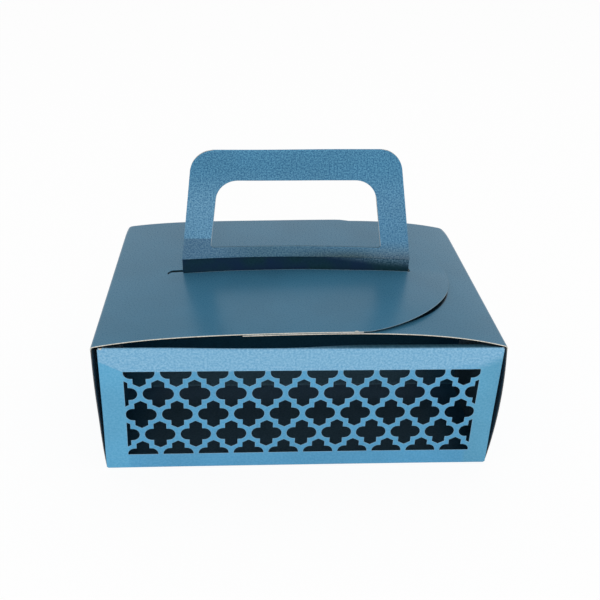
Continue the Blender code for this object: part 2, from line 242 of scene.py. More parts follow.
# painted light and shade on the handle's legs, grip and foot
LEG_LIGHT_TINTS = ((1.45, 1.38, 1.28), (1.09, 1.15, 1.12))
GRIP_SHADE_TINT = (0.72, 0.97, 0.98)
SILL_SHADE_TINTS = ((0.84, 0.77, 0.67), (0.57, 0.38, 0.25))
LEFT_FOOT_SHADE_TINT = (1.04, 0.9, 0.84)
RIGHT_FOOT_SHADE_TINTS = ((0.9, 0.62, 0.52), (1.38, 0.92, 0.73))  # from its foot upwards
# painted light on the base along the divider
PAINTED_LIGHT_TINT = (1.8, 1.65, 1.7)
END_TINT = (0.5, 0.95, 1.15)

# Studio
WORLD_LEVEL = 0.72
FLOOR_WHITE = 0.92  # the share of plain white that the camera sees in the floor
FLOOR_TONE = (0.95, 0.95, 0.95, 1)
FLOOR_RADIUS = 8
FLOOR_DROP = 0.2 * MM
FRONT_LAMP = {"place": (0.1, -1.9, 1.1), "size": 1.4, "power": 12}
TOP_LAMP = {"place": (0.3, 0.5, 2.0), "size": 1.6, "power": 5}

# Camera, fitted to the photograph's 600 x 600 frame
IMAGE_SIZE = 600
FOCAL_PIXELS = 807.6
SENSOR = 36.0
CAMERA_PLACE = Vector((-34.4, -489.5, 338.3)) * MM
CAMERA_PITCH = radians(28.42)
CAMERA_YAW = radians(4.43)
CAMERA_ROLL = radians(1.99)


def smooth(start, end, value):
    """0 up to start, 1 from end on, and an even S between them."""
    share = min(max((value - start) / (end - start), 0), 1)
    return share * share * (3 - 2 * share)


def spaced(start, end, step):
    """Places between start and end that divide it into equal runs of about one step."""
    count = max(round(abs(end - start) / step), 1)
    return [start + (end - start) * index / count for index in range(1, count)]


def bend_places(start, length, quarters):
    """Places across a bend, its two ends included."""
    count = BEND_STEPS * quarters
    return [start + length * index / count for index in range(count + 1)]


# Materials


def node(tree, kind, **settings):
    made = tree.nodes.new(kind)
    for name, value in settings.items():
        setattr(made, name, value)
    return made


def fed(kind, inputs, **settings):
    """A node fed with numbers, colours and the outputs of others, in the tree of the first."""
    linked = {k: value for k, value in inputs.items() if isinstance(value, bpy.types.NodeSocket)}
    tree = next(iter(linked.values())).id_data
    made = node(tree, kind, **settings)
    for name, value in inputs.items():
        if name in linked:
            tree.links.new(value, made.inputs[name])
        else:
            made.inputs[name].default_value = (*value, 1) if isinstance(value, tuple) else value
    return made


def noise(place, scale, detail=2, roughness=0.5):
    inputs = {"Vector": place, "Scale": scale, "Detail": detail, "Roughness": roughness}
    return fed("ShaderNodeTexNoise", inputs).outputs["Fac"]


def ranged(value, low, high, to_low=0, to_high=1):
    """An even S from to_low to to_high, as value runs from low to high."""
    inputs = dict(enumerate((value, low, high, to_low, to_high)))
    return fed("ShaderNodeMapRange", inputs, interpolation_type="SMOOTHSTEP").outputs["Result"]


def calc(operation, first, second=0):
    return fed("ShaderNodeMath", {0: first, 1: second}, operation=operation).outputs[0]


def times(first, second):
    return calc("MULTIPLY", first, second)


def mixed(share, first, second, blend="MIX"):
    inputs = {"Factor": share, "A": first, "B": second}
    return fed("ShaderNodeMix", inputs, data_type="RGBA", blend_type=blend).outputs["Result"]


def tinted(tone, tint):
    return mixed(1.0, tone, tint, "MULTIPLY")


def distance_from(place, u, v):
    apart = fed("ShaderNodeVectorMath", {0: place}, operation="DISTANCE")
    apart.inputs[1].default_value = (u, v, 0)
    return apart.outputs["Value"]


def new_material(name):
    made = bpy.data.materials.new(name)
    made.use_nodes = True
    tree = made.node_tree
    place = node(tree, "ShaderNodeUVMap", uv_map=CARD_MAP).outputs["UV"]
    return made, tree.nodes["Principled BSDF"], place


def dress(shader, tone, relief, depth, roughness, ior, metallic=0):
    """Colour, gloss and pressed relief; roughness is an output that follows the relief."""
    bump = fed("ShaderNodeBump", {"Height": relief, "Distance": depth})
    looks = {"Base Color": tone, "Roughness": roughness, "Normal": bump.outputs["Normal"]}
    for name, output in looks.items():
        shader.id_data.links.new(output, shader.inputs[name])
    shader.inputs["IOR"].default_value = ior
    shader.inputs["Metallic"].default_value = metallic


def pearl(name, valley, crest, grain_size, roughness, depth, metallic=0, ior=1.5, region=None):
    """Pearl-coated board with a pressed grain, whose crests catch more mica than its valleys.

    region(place, tone, grain) adds what differs from place to place on the card.
    """
    made, shader, place = new_material(name)
    crests = ranged(noise(place, 1 / grain_size, 2, 0.55), 0.32, 0.68)
    mica = ranged(noise(place, MICA_FINENESS / grain_size), 0.3, 0.7)
    crests = times(crests, 1 - MICA_SHARE)
    grain = calc("ADD", crests, times(mica, MICA_SHARE))
    mottle = noise(place, MOTTLE_SCALE, 3)
    mottle = ranged(mottle, 0.3, 0.7, 1 - MOTTLE_DEPTH, 1 + MOTTLE_DEPTH)
    tone = tinted(mixed(grain, valley, crest), mottle)
    if region:
        tone = region(place, tone, grain)
    rough = ranged(grain, 0, 1, roughness + PEARL_SWING, roughness - PEARL_SWING)
    dress(shader, tone, grain, depth, rough, ior, metallic)
    return made


def plain_card(name, first, second, scale, roughness, depth, ior=1.45, region=None):
    """Uncoated card: fibres show as a soft two-tone noise."""
    made, shader, place = new_material(name)
    fibre = noise(place, scale, 4, 0.65)
    share = ranged(fibre, 0.35, 0.65)
    tone = mixed(share, first, second)
    if region:
        tone = region(place, tone, share)
    rough = ranged(fibre, 0.3, 0.7, roughness + FIBRE_SWING, roughness - FIBRE_SWING)
    dress(shader, tone, fibre, depth, rough, ior)
    return made


def flat_place(place):
    """The place across and up the flat card."""
    split = fed("ShaderNodeSeparateXYZ", {0: place}).outputs
    return split["X"], split["Y"]


def torn_corner(place, tone, corner, radius):
    """Bare board shows where a corner of the card is torn."""
    ragged = times(noise(place, 1 / MM, 3, 0.6), TORN_WIDTH)
    distance = calc("ADD", distance_from(place, *corner), ragged)
    reach = radius + TORN_WIDTH / 2
    torn = ranged(distance, reach - CUT_ROUND, reach + CUT_ROUND, 1, 0)
    return mixed(torn, tone, TORN_BOARD)


def hem_region(place, tone, grain):
    """A lighter, coarser pearl is painted over the doubled board behind the top margin, as a
    highlight.

    The side margins are painted paler, less so. The doubled board's left end is creased sharply,
    its right end softly. Shade is painted over the top of the fold in its right half, and the
    doubled board's left corner is torn to bare board.
    """
    across, up = flat_place(place)
    off_centre = calc("ABSOLUTE", across)
    past_run = calc("SUBTRACT", off_centre, HEM_HALF - HEM_CORNER_RUN)
    past_run = calc("MAXIMUM", past_run, 0)
    rise = times(past_run, HEM_CORNER_RISE / HEM_CORNER_RUN)
    over = calc("SUBTRACT", calc("SUBTRACT", up, HEM_BOTTOM), rise)
    crisp = ranged(over, -HEM_RELIEF_WIDTH / 2, HEM_RELIEF_WIDTH / 2)
    soft = ranged(over, -HEM_CORNER_RISE / 2, HEM_CORNER_RISE)
    rightness = ranged(across, LATTICE_SIDE * 0.75, LATTICE_SIDE)
    inside = mixed(rightness, crisp, soft)
    margin = ranged(off_centre, LATTICE_SIDE - LATTICE_RIB, LATTICE_SIDE)
    paler = mixed(rightness, *MARGIN_TINTS)
    beside = mixed(margin, tone, tinted(tone, paler))
    # painted highlight: the hem's lighter pearl
    hem_tone = mixed(inside, beside, mixed(grain, *HEM_HIGHLIGHT_TONES))
    over_top = ranged(up, HEM_START + HEM_TURN / 4, HEM_CREST)
    open_end = ranged(across, -HEM_HALF / 6, HEM_HALF / 3)
    in_shade = times(over_top, open_end)
    hem_tone = mixed(in_shade, hem_tone, mixed(grain, *HEM_SHADED))
    return torn_corner(place, hem_tone, (-HEM_HALF, HEM_CREST), HEM_TEAR)


def upper_lid_region(place, tone, grain):
    """A pale highlight is painted along the slot's front lip, and two corners are torn."""
    across, up = flat_place(place)
    x = calc("ADD", across, LEFT_CREASE)
    push_left = ranged(x, NECK_LEFT, NECK_LEFT / 2, SLOT_PUSH_LEFT, 0)
    push_right = ranged(x, 0, SLOT_RIGHT / 2, 0, SLOT_PUSH_RIGHT)
    pushed = calc("ADD", push_left, push_right)
    before_lip = calc("SUBTRACT", calc("SUBTRACT", SLOT_FRONT, pushed), up)
    on_lip = ranged(before_lip, CUT_RIM, CUT_RIM * 4, LIP_HIGHLIGHT_SHARE, 0)
    begun = ranged(x, NECK_LEFT, NECK_LEFT + LID_CELL * 3)
    ended = ranged(x, SLOT_RIGHT, SLOT_RIGHT + CUT_RIM, 1, 0)
    behind_lip = ranged(before_lip, -CUT_RIM, 0)
    for share in (begun, ended, behind_lip):
        on_lip = times(on_lip, share)
    # painted highlight along the slot's front lip
    tone = mixed(on_lip, tone, LIP_HIGHLIGHT_TONE)
    tone = torn_corner(place, tone, (0, -HALF_DEPTH), CREASE_TEAR)
    tongue_start = LEFT_LID_LENGTH - HALF_DEPTH + DARK_EDGE_START * 0.8
    return torn_corner(place, tone, (tongue_start, -HALF_DEPTH), TONGUE_TEAR)


def lower_lid_region(place, tone, grain):
    """A shadow under the upper lid's tongue is painted as a dark line on the lower lid, widest in
    its front corner.
    """
    centre = RIGHT_CREASE - LEFT_CREASE - LEFT_LID_LENGTH + HALF_DEPTH
    reach = distance_from(place, centre, 0)
    inner = ranged(reach, HALF_DEPTH - TONGUE_SHADOW_WIDTH, HALF_DEPTH - TONGUE_SHADOW_WIDTH * 0.6)
    up = flat_place(place)[1]
    off_corner = calc("ADD", times(up, 1 / HALF_DEPTH), TONGUE_SHADOW_CORNER)
    squared = times(off_corner, off_corner)
    reach = calc("ADD", reach, times(squared, TONGUE_SHADOW_WIDTH * 3))
    edge = HALF_DEPTH + TONGUE_SHADOW_WIDTH * 0.15
    outer = ranged(reach, edge, edge + TONGUE_SHADOW_WIDTH * 0.2, 1, 0)
    # painted shadow under the tongue
    return mixed(times(inner, outer), tone, TONGUE_SHADOW_TONE)


def handle_region(place, tone, grain):
    """Painted light and shade: the grip is painted darker, the legs lighter, and the foot in shade.
    """
    across, up = flat_place(place)
    from_fold = calc("ABSOLUTE", calc("SUBTRACT", up, HANDLE_FOLD_MIDDLE))
    height = calc("SUBTRACT", HANDLE_TOP, from_fold)
    rightness = ranged(across, -TOP_HALF / 2, TOP_HALF / 2)
    on_left = ranged(across, -TOP_HALF, -LEFT_LEG_WIDTH, 1, 0)
    on_right = ranged(across, TOP_HALF * 0.54, TOP_HALF)
    aside = calc("MAXIMUM", on_left, on_right)
    between = mixed(ranged(across, -TOP_HALF / 4, TOP_HALF / 2), *SILL_SHADE_TINTS)
    low = HANDLE_CREASE - WINDOW_SILL / 4
    painted_shade_ramp = ranged(height, low, low + WINDOW_SILL)
    ends = mixed(rightness, LEFT_FOOT_SHADE_TINT, mixed(painted_shade_ramp, *RIGHT_FOOT_SHADE_TINTS))
    foot = mixed(aside, between, ends)
    grip_edge = HANDLE_TOP - GRIP_BAR
    grip_shade = ranged(height, grip_edge - GRIP_BAR, grip_edge + GRIP_BAR / 2)
    upper = mixed(grip_shade, mixed(rightness, *LEG_LIGHT_TINTS), GRIP_SHADE_TINT)
    edge = SILL + SHADED_FOOT_RISE
    sharp_share = ranged(height, edge - HEM_RELIEF_WIDTH, edge)
    slow_share = ranged(height, edge - 2 * WINDOW_SILL, edge)
    share = mixed(rightness, sharp_share, slow_share)
    # painted light and shade on the handle
    return tinted(tone, mixed(share, foot, upper))


def neck_region(place, tone, share):
    """Light is painted on the card's lower half, most at its foot; on the neck's right end, pearl
    in shade is painted over the reverse.
    """
    across, up = flat_place(place)
    foot = mixed(share, *DIVIDER_FOOT_LIGHT)
    # painted light on the divider's lower part
    interior_tone = mixed(ranged(up, 0, RIM / 20), foot, mixed(share, *DIVIDER_LOWER_LIGHT))
    inner = mixed(share, *DIVIDER_INNER)
    interior_tone = mixed(ranged(up, RIM / 8, RIM / 3), interior_tone, inner)
    patches = ranged(noise(place, PATCH_SCALE), 0.35, 0.65)
    tone = mixed(patches, tone, NECK_PATCHES)
    speckle = ranged(noise(place, SPECKLE_SCALE), 0.36, 0.64)
    rightness = ranged(across, 0, FOOT_HALF, 0, WINDOW_SILL)
    over = calc("ADD", up, rightness)
    painted_shade_ramp = ranged(over, SILL - WINDOW_SILL * 0.9, SILL)
    # painted shade: pearl in shade on the neck
    neck = mixed(painted_shade_ramp, tone, mixed(speckle, *NECK_SHADED_PEARL))
    interior_tone = end_region(place, interior_tone, share)
    return mixed(ranged(up, RIM, RIM + LAYER), interior_tone, neck)


def base_region(place, tone, share):
    """Light is painted on the base along the divider."""
    off_middle = calc("ABSOLUTE", flat_place(place)[1])
    away = ranged(off_middle, LATTICE_PITCH / 3, LATTICE_PITCH * 1.2)
    # painted light along the divider
    tone = mixed(away, tinted(tone, PAINTED_LIGHT_TINT), tone)
    return end_region(place, tone, share)


def end_region(place, tone, share):
    """The card is bluer at its two ends."""
    off_centre = calc("ABSOLUTE", flat_place(place)[0])
    aside = ranged(off_centre, LATTICE_SIDE * 0.8, LATTICE_SIDE * 1.1)
    return tinted(tone, mixed(aside, (1, 1, 1), END_TINT))


WALL = ((0.064, 0.285, 0.495), (0.098, 0.345, 0.56), 1.3 * MM, 0.8, 0.01 * MM)
# painted shade: the lids are the walls' pearl board, drawn darker because they face up
SHADED_LID = ((0.036, 0.14, 0.229), (0.043, 0.155, 0.248), 1 * MM, 0.29, 0.003 * MM, 0.1, 1.27)
HANDLE = ((0.021, 0.109, 0.243), (0.16, 0.352, 0.52), 1 * MM, 0.85, 0.05 * MM, 0, 1.4)
PEARLS = {  # valley, crest, grain size, roughness, depth, metallic share, IOR, region
    "wall_pearl": WALL,
    "front_pearl": (*WALL, 0, 1.5, hem_region),
    "upper_lid_pearl": (*SHADED_LID, upper_lid_region),
    "lower_lid_pearl": (*SHADED_LID, lower_lid_region),
    "handle_pearl": (*HANDLE, handle_region),
}
# painted light: the box's inner reverse is drawn lighter than the lids' reverse of the same board
PAINTED_LIGHT_REVERSE = ((0.034, 0.072, 0.104), (0.048, 0.092, 0.13), 700, 0.7, FIBRE_DEPTH, 1.2)
NAVY = ((0.003, 0.019, 0.034), (0.006, 0.026, 0.045), 700, 0.7, FIBRE_DEPTH, 1.2)
NECK = ((0.003, 0.026, 0.038), (0.008, 0.038, 0.056), 700, 0.7, FIBRE_DEPTH, 1.2)
# painted shade on the slot's and the tongue's cut edges
SHADE_PAINTED_EDGE = ((0.004, 0.014, 0.022), (0.007, 0.021, 0.031), 900, 0.8, FIBRE_DEPTH, 1.2)
PLAIN_CARDS = {  # its two tones, fineness, roughness, depth, IOR, region
    "cut_card_edge": ((0.78, 0.74, 0.65), (0.52, 0.49, 0.42), 900, 0.8, FIBRE_DEPTH),
    # painted shade: the side walls' cut edges are drawn dark
    "worn_card_edge": ((0.13, 0.115, 0.1), (0.045, 0.05, 0.055), 300, 0.8, FIBRE_DEPTH),
    # painted shade: the cream core of the lattice's cut edges is drawn dark blue
    "tinted_card_edge": ((0.02, 0.048, 0.075), (0.01, 0.03, 0.05), 900, 0.7, FIBRE_DEPTH),
    "dark_card_edge": SHADE_PAINTED_EDGE,
    "handle_sill_edge": ((0.07, 0.15, 0.205), (0.05, 0.12, 0.17), 900, 0.8, FIBRE_DEPTH),
    "navy_reverse": NAVY,
    "dusty_reverse": PAINTED_LIGHT_REVERSE,
    "base_dust": (*PAINTED_LIGHT_REVERSE, base_region),
    "neck_reverse": (*NECK, neck_region),
    # painted highlights on the rims beside the cuts
    "wall_cut_rim": ((0.2, 0.4, 0.56), (0.15, 0.36, 0.54), 900, 0.5, RIM_DEPTH),
    "lid_cut_rim": ((0.2, 0.31, 0.37), (0.13, 0.22, 0.28), 300, 0.5, RIM_DEPTH),
    "handle_cut_rim": ((0.55, 0.58, 0.58), (0.34, 0.42, 0.47), 900, 0.5, RIM_DEPTH),
}
FINISHES = {  # outside, reverse, rim of the outside, cut edges, edges of the openings
    "front": "front_pearl dusty_reverse wall_cut_rim cut_card_edge tinted_card_edge",
    "wall": "wall_pearl dusty_reverse wall_cut_rim worn_card_edge tinted_card_edge",
    "base": "wall_pearl base_dust wall_cut_rim cut_card_edge tinted_card_edge",
    "divider": "wall_pearl neck_reverse wall_cut_rim cut_card_edge tinted_card_edge",
    "upper_lid": "upper_lid_pearl navy_reverse lid_cut_rim cut_card_edge dark_card_edge",
    "lower_lid": "lower_lid_pearl navy_reverse lid_cut_rim cut_card_edge dark_card_edge",
    "handle": "handle_pearl neck_reverse handle_cut_rim cut_card_edge handle_sill_edge",
}


def make_finishes():
    """For each kind of card, its materials in the order of the card's slots."""
    made = {name: pearl(name, *look) for name, look in PEARLS.items()}
    made.update({name: plain_card(name, *look) for name, look in PLAIN_CARDS.items()})
    finishes = {}
    for name, looks in FINISHES.items():
        outside, reverse, rim, edge, opening = (made[look] for look in looks.split())
        finishes[name] = (outside, reverse, rim, reverse, edge, opening)
    return finishes


# The flat card

OUTSIDE, REVERSE, OUTSIDE_RIM, REVERSE_RIM, CUT_EDGE, LATTICE_EDGE = range(6)


def placed(name, data):
    """A new object in the scene."""
    made = bpy.data.objects.new(name, data)
    bpy.context.scene.collection.objects.link(made)
    return made


def card(
    name,
    outline,
    form,
    finish,
    holes=(),
    across=(),
    up=(),
    joined=lambda u, v: False,
    edge_of=lambda u, v: CUT_EDGE,
    rimmed=lambda u, v: True,
):
    """A formed card. Edges where joined(u, v) holds meet another card, and aren't rounded over.

    The pressed rim shows beside the other edges where rimmed(u, v) holds. Within it the fill's
    triangles are dissolved, so that only the cuts at across and up divide the card.
    """
    bm = bmesh.new()
    for loop in (outline, *holes):
        corners = [bm.verts.new((u, v, 0)) for u, v in loop]
        for first, second in zip(corners, corners[1:] + corners[:1]):
            bm.edges.new((first, second))
    ops.triangle_fill(bm, use_beauty=True, use_dissolve=False, edges=bm.edges[:])
    ops.inset_region(
        bm, faces=bm.faces[:], thickness=CUT_RIM, use_even_offset=True, use_boundary=True
    )
    rim = {face for edge in bm.edges if edge.is_boundary for face in edge.link_faces}
    within = [edge for edge in bm.edges if not rim.intersection(edge.link_faces)]
    ops.dissolve_limit(bm, angle_limit=SHARP_ANGLE, verts=[], edges=within)
    for places, normal in ((across, (1, 0, 0)), (up, (0, 1, 0))):
        for place in places:
            whole = bm.verts[:] + bm.edges[:] + bm.faces[:]
            through = [place * along for along in normal]
            ops.bisect_plane(bm, geom=whole, dist=CUT_REACH, plane_co=through, plane_no=normal)
    for face in bm.faces:
        sides = [edge.verts for edge in face.edges if edge.is_boundary]
        middles = [((a.co + b.co) / 2).xy for a, b in sides]
        on_rim = any(not joined(*middle) and rimmed(*middle) for middle in middles)
        face.material_index = OUTSIDE_RIM if on_rim else OUTSIDE
    for item in ops.extrude_face_region(bm, geom=bm.faces[:])["geom"]:
        if isinstance(item, bmesh.types.BMVert):
            item.co.z = BOARD
    card_map = bm.loops.layers.uv.new(CARD_MAP)
    for face in bm.faces:
        heights = {vertex.co.z > BOARD / 2 for vertex in face.verts}
        if heights == {True}:
            face.material_index = REVERSE if face.material_index == OUTSIDE else REVERSE_RIM
        elif heights == {True, False}:
            face.material_index = edge_of(*face.calc_center_median().xy)
        for corner in face.loops:
            corner[card_map].uv = corner.vert.co.xy
    ends = [edge.verts for edge in bm.edges]
    risers = [pair for pair in ends if abs(pair[0].co.z - pair[1].co.z) > BOARD / 2]
    for vertex in (vertex for pair in risers for vertex in pair):
        if not joined(*vertex.co.xy):
            vertex.co.z += CUT_ROUND if vertex.co.z < BOARD / 2 else -CUT_ROUND
    for vertex in bm.verts:
        vertex.co = form(*vertex.co)
    ops.recalc_face_normals(bm, faces=bm.faces[:])
    if bm.calc_volume(signed=True) < 0:
        ops.reverse_faces(bm, faces=bm.faces[:])
    mesh = bpy.data.meshes.new(name)
    bm.to_mesh(mesh)
    bm.free()
    mesh.shade_smooth()
    mesh.set_sharp_from_angle(angle=SHARP_ANGLE)
    for material in finish:
        mesh.materials.append(material)
    return placed(name, mesh)


def followed(start, heading, runs, distance, depth, side):
    """A point on a folded card in section.

    The outside follows (length, turn) runs from start, and depth lies to the left (side 1)
    or to the right (side -1) of it.
    """
    a, b = start
    for index, (length, turn) in enumerate(runs):
        last = index == len(runs) - 1
        step = distance if last else min(distance, length)
        if turn:
            radius = length / turn
            after = heading + step / radius
            a += radius * (sin(after) - sin(heading))
            b -= radius * (cos(after) - cos(heading))
            heading = after
        else:
            a += step * cos(heading)
            b += step * sin(heading)
        distance -= step
        if distance <= 0:
            break
    return a - side * depth * sin(heading), b + side * depth * cos(heading)


def rounded(corners, steps=CORNER_STEPS):
    """An outline whose (u, v, radius) corners are filleted."""
    outline = []
    for index, (u, v, radius) in enumerate(corners):
        if not radius:
            outline.append((u, v))
            continue
        before = corners[index - 1]
        after = corners[(index + 1) % len(corners)]
        into = atan2(v - before[1], u - before[0])
        turn = atan2(after[1] - v, after[0] - u) - into
        turn = (turn + pi) % (2 * pi) - pi
        setback = radius * tan(abs(turn) / 2)
        side = copysign(1, turn)
        start = (u - setback * cos(into), v - setback * sin(into))
        reach = side * radius
        centre = (start[0] - reach * sin(into), start[1] + reach * cos(into))
        for step in range(steps + 1):
            angle = into + turn * step / steps
            place = (centre[0] + reach * sin(angle), centre[1] - reach * cos(angle))
            outline.append(place)
    return outline


# Lattice walls, with their hems and corner flaps


def clipped(outline, axis, limit, keep):
    """The part of an outline above (keep 1) or below (keep -1) a limit along an axis."""
    kept = []
    for first, second in zip(outline, outline[1:] + outline[:1]):
        over = keep * (first[axis] - limit)
        next_over = keep * (second[axis] - limit)
        if over >= 0:
            kept.append(first)
        if over * next_over < 0:
            share = over / (over - next_over)
            kept.append(tuple(a + (b - a) * share for a, b in zip(first, second)))
    return kept


def cell():
    """One quatrefoil opening: round side lobes, pointed spires, square notches between."""
    half_width = (LATTICE_PITCH - LATTICE_RIB) / 2
    half_spire = (LATTICE_PITCH / 2 - LATTICE_RIB) / 2
    half_lobe = LOBE_HEIGHT / 2
    tip = CELL_HEIGHT / 2
    shoulder = tip - SPIRE_POINT
    lobe_centre = half_width - half_lobe
    right = []
    for step in range(LOBE_STEPS + 1):
        angle = pi * (step / LOBE_STEPS - 1 / 2)
        right.append((lobe_centre + half_lobe * cos(angle), half_lobe * sin(angle)))
    spire = [(half_spire, half_lobe), (half_spire, shoulder), (0, tip), (-half_spire, shoulder)]
    half = [*right, *spire, (-half_spire, half_lobe)]
    return half + [(-u, -v) for u, v in half]


def fall(u, v, tilt):
    """How far a row has dropped at u, where the lattice is cut askew."""
    return tilt / 2 * u / LATTICE_SIDE * (v - LATTICE_BOTTOM) / (LATTICE_TOP - LATTICE_BOTTOM)


WINDOW = ((0, -LATTICE_SIDE, 1), (0, LATTICE_SIDE, -1))
WINDOW += ((1, LATTICE_TOP, -1), (1, LATTICE_BOTTOM, 1))


def lattice(shift, tilt):
    """Every opening of a lattice wall, cut along the window's border."""
    rows = round((LATTICE_TOP - LATTICE_BOTTOM) / LATTICE_ROW)
    columns = ceil(LATTICE_SIDE / LATTICE_PITCH)
    openings = []
    for row in range(rows + 1):
        height = LATTICE_TOP - LATTICE_DROP - row * LATTICE_ROW
        offset = LATTICE_PITCH / 2 if row % 2 == 0 else 0
        for column in range(-columns - 1, columns + 1):
            centre = column * LATTICE_PITCH + offset
            opening = [(u + centre, v + height) for u, v in cell()]
            opening = [(u, v - fall(u, v, tilt)) for u, v in opening]
            for border in WINDOW:
                opening = clipped(opening, *border)
            if len(opening) < 3:
                continue
            spans = [max(place) - min(place) for place in zip(*opening)]
            if min(spans) > LEAST_OPENING:
                openings.append([(u + shift, v) for u, v in opening])
    return openings


def racked(x, z):
    """How far the box has leaned to the right at a height, and spread at its foot."""
    return RACK * (z / RIM - 0.5) + FOOT_SPREAD * x / HALF_WIDTH * smooth(RIM / 2, 0, z)


FLAT_HALF = HALF_WIDTH - CORNER_ROLL
QUARTER = pi / 2 * CORNER_ROLL
CARD_START = CORNER_ROLL - QUARTER  # v where the card leaves the base; on the wall v is the height
HEM_START = RIM - HEM_ROLL
HEM_TURN = pi * HEM_ROLL
HEM_CREST = HEM_START + HEM_TURN / 2
HEM_BACK = HEM_START + HEM_TURN
HEM_END = HEM_BACK + HEM_START - HEM_BOTTOM


def hem_bottom(u):
    """Height of the hem's free edge at u, with its cut corners."""
    past_run = max(abs(u) - HEM_HALF + HEM_CORNER_RUN, 0)
    return HEM_BOTTOM + past_run * HEM_CORNER_RISE / HEM_CORNER_RUN


def hem_loose(u, v):
    """How far the hem stands open, as a share: most at its back's top, in its right half."""
    open_end = smooth(-HEM_HALF / 6, HEM_HALF / 3, u) * smooth(HEM_HALF, HEM_HALF * 0.9, u)
    start = HEM_START + HEM_TURN / 4
    return open_end * smooth(start, HEM_BACK, v) * smooth(HEM_END, HEM_BACK, v)


def lattice_card_form(front):
    rise = [(QUARTER, -pi / 2), (HEM_START - CORNER_ROLL, 0), (HEM_TURN, -pi), (HEM_END, 0)]
    turn = [(QUARTER, pi / 2), (FLAP_LENGTH, 0)]

    def form(u, v, w):
        across = abs(u)
        if across <= FLAT_HALF:
            start = (CORNER_ROLL - HALF_DEPTH, 0)
            y, z = followed(start, pi, rise, v - CARD_START, w, -1)
            x = across
        else:
            x, y = followed((FLAT_HALF, -HALF_DEPTH), 0, turn, across - FLAT_HALF, w, 1)
            x -= LAYER * smooth(0, FLAP_TUCK, across - FLAT_HALF - QUARTER)
            z = v
        single = 1 - smooth(-HEM_RELIEF_WIDTH / 2, HEM_RELIEF_WIDTH / 2, v - hem_bottom(u))
        on_face = smooth(HALF_WIDTH, FLAT_HALF - LAYER, x) * smooth(0, LAYER, z)
        y += HEM_RELIEF * single * on_face
        signed_x = copysign(x, u)
        wave = sin(signed_x / WAVE_RUN) * sin(z / WAVE_RISE + WAVE_START)
        inside = smooth(0, LATTICE_BOTTOM, z) * smooth(HALF_WIDTH, LATTICE_SIDE, x)
        y += WALL_WAVE * (1 + wave) / 2 * inside
        x = signed_x
        hollow = FOOT_HOLLOW * (1 - (x / HALF_WIDTH) ** 2) * smooth(RIM / 2, 0, z)
        x += racked(x, z)
        if not front:
            return x, -y, z
        y += hollow
        y += HEM_LOOSE * hem_loose(u, v)
        lift = smooth(-HALF_WIDTH / 4, -HALF_WIDTH * 0.8, x) * smooth(LATTICE_TOP, RIM, z)
        return x, y, z + RIM_LIFT * lift

    return form


def lattice_card(name, finish, front):
    """The wall, with a roll below, a hem above and a flap at each side."""
    flap = FLAT_HALF + QUARTER
    tip = flap + FLAP_LENGTH
    flap_top = RIM - FLAP_DROP
    right = [(FLAT_HALF - CUT_RIM, CARD_START), (FLAT_HALF, CORNER_ROLL), (flap, CORNER_ROLL)]
    right += [(flap + BOARD, FLAP_FOOT), (tip - FLAP_SLOPE, FLAP_FOOT)]
    right += [(tip, FLAP_FOOT + FLAP_SLOPE), (tip, flap_top - FLAP_SLOPE)]
    right += [(tip - FLAP_SLOPE, flap_top), (flap + BOARD, flap_top), (flap, HEM_START)]
    right += [(FLAT_HALF, HEM_START), (FLAT_HALF, HEM_CREST), (HEM_HALF, HEM_CREST)]
    right += [(HEM_HALF, HEM_END - HEM_CORNER_RISE), (HEM_HALF - HEM_CORNER_RUN, HEM_END)]
    outline = right + [(-u, v) for u, v in reversed(right)]
    corner = bend_places(FLAT_HALF, QUARTER, 1) + spaced(flap, flap + FLAP_TUCK, LAYER)
    flat = spaced(-FLAT_HALF, FLAT_HALF, WALL_CELL)
    beyond = spaced(flap + FLAP_TUCK, tip, WALL_CELL)
    across = [-place for place in corner + beyond] + flat + corner + beyond
    up = bend_places(CARD_START, QUARTER, 1) + spaced(CORNER_ROLL, HEM_BOTTOM, WALL_CELL)
    up += [HEM_BOTTOM - HEM_RELIEF_WIDTH / 2, HEM_BOTTOM, HEM_BOTTOM + HEM_RELIEF_WIDTH / 2]
    up += spaced(HEM_BOTTOM, HEM_START, WALL_CELL / 2)
    up += bend_places(HEM_START, HEM_TURN, 2) + spaced(HEM_BACK, HEM_END, WALL_CELL)

    def edge_of(u, v):
        in_width = abs(u) < LATTICE_SIDE + LEAST_OPENING
        in_height = LATTICE_BOTTOM / 2 < v < HEM_BOTTOM + LEAST_OPENING
        return LATTICE_EDGE if in_width and in_height or abs(u) > flap else CUT_EDGE

    def joined(u, v):
        return v < CARD_START + NEAR

    form = lattice_card_form(front)
    holes = lattice(LATTICE_SHIFT, LATTICE_TILT) if front else lattice(0, 0)
    made = card(name, outline, form, finish, holes, across, up, joined, edge_of)
    side = "front" if front else "rear"
    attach(made, "box")
    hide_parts(f"{side}_wall", f"{side}_hem", f"{side}_left_flap", f"{side}_right_flap")


# Side walls


def crease_round(side, y):
    """How far the crease rounds off, most at its rear end."""
    share = smooth(REAR_ROLL_START, HALF_DEPTH * 2 - REAR_ROLL_START, y) * 2
    return LID_ROLL + (REAR_ROLL[side] - LID_ROLL) * share * share


def spread(side, height):
    """How far a side wall stands out from its foot at a height."""
    share = height / (LID_HEIGHT[side] - LAYER)
    return LEAN[side] * share + 4 * SWELL[side] * share * (1 - share)


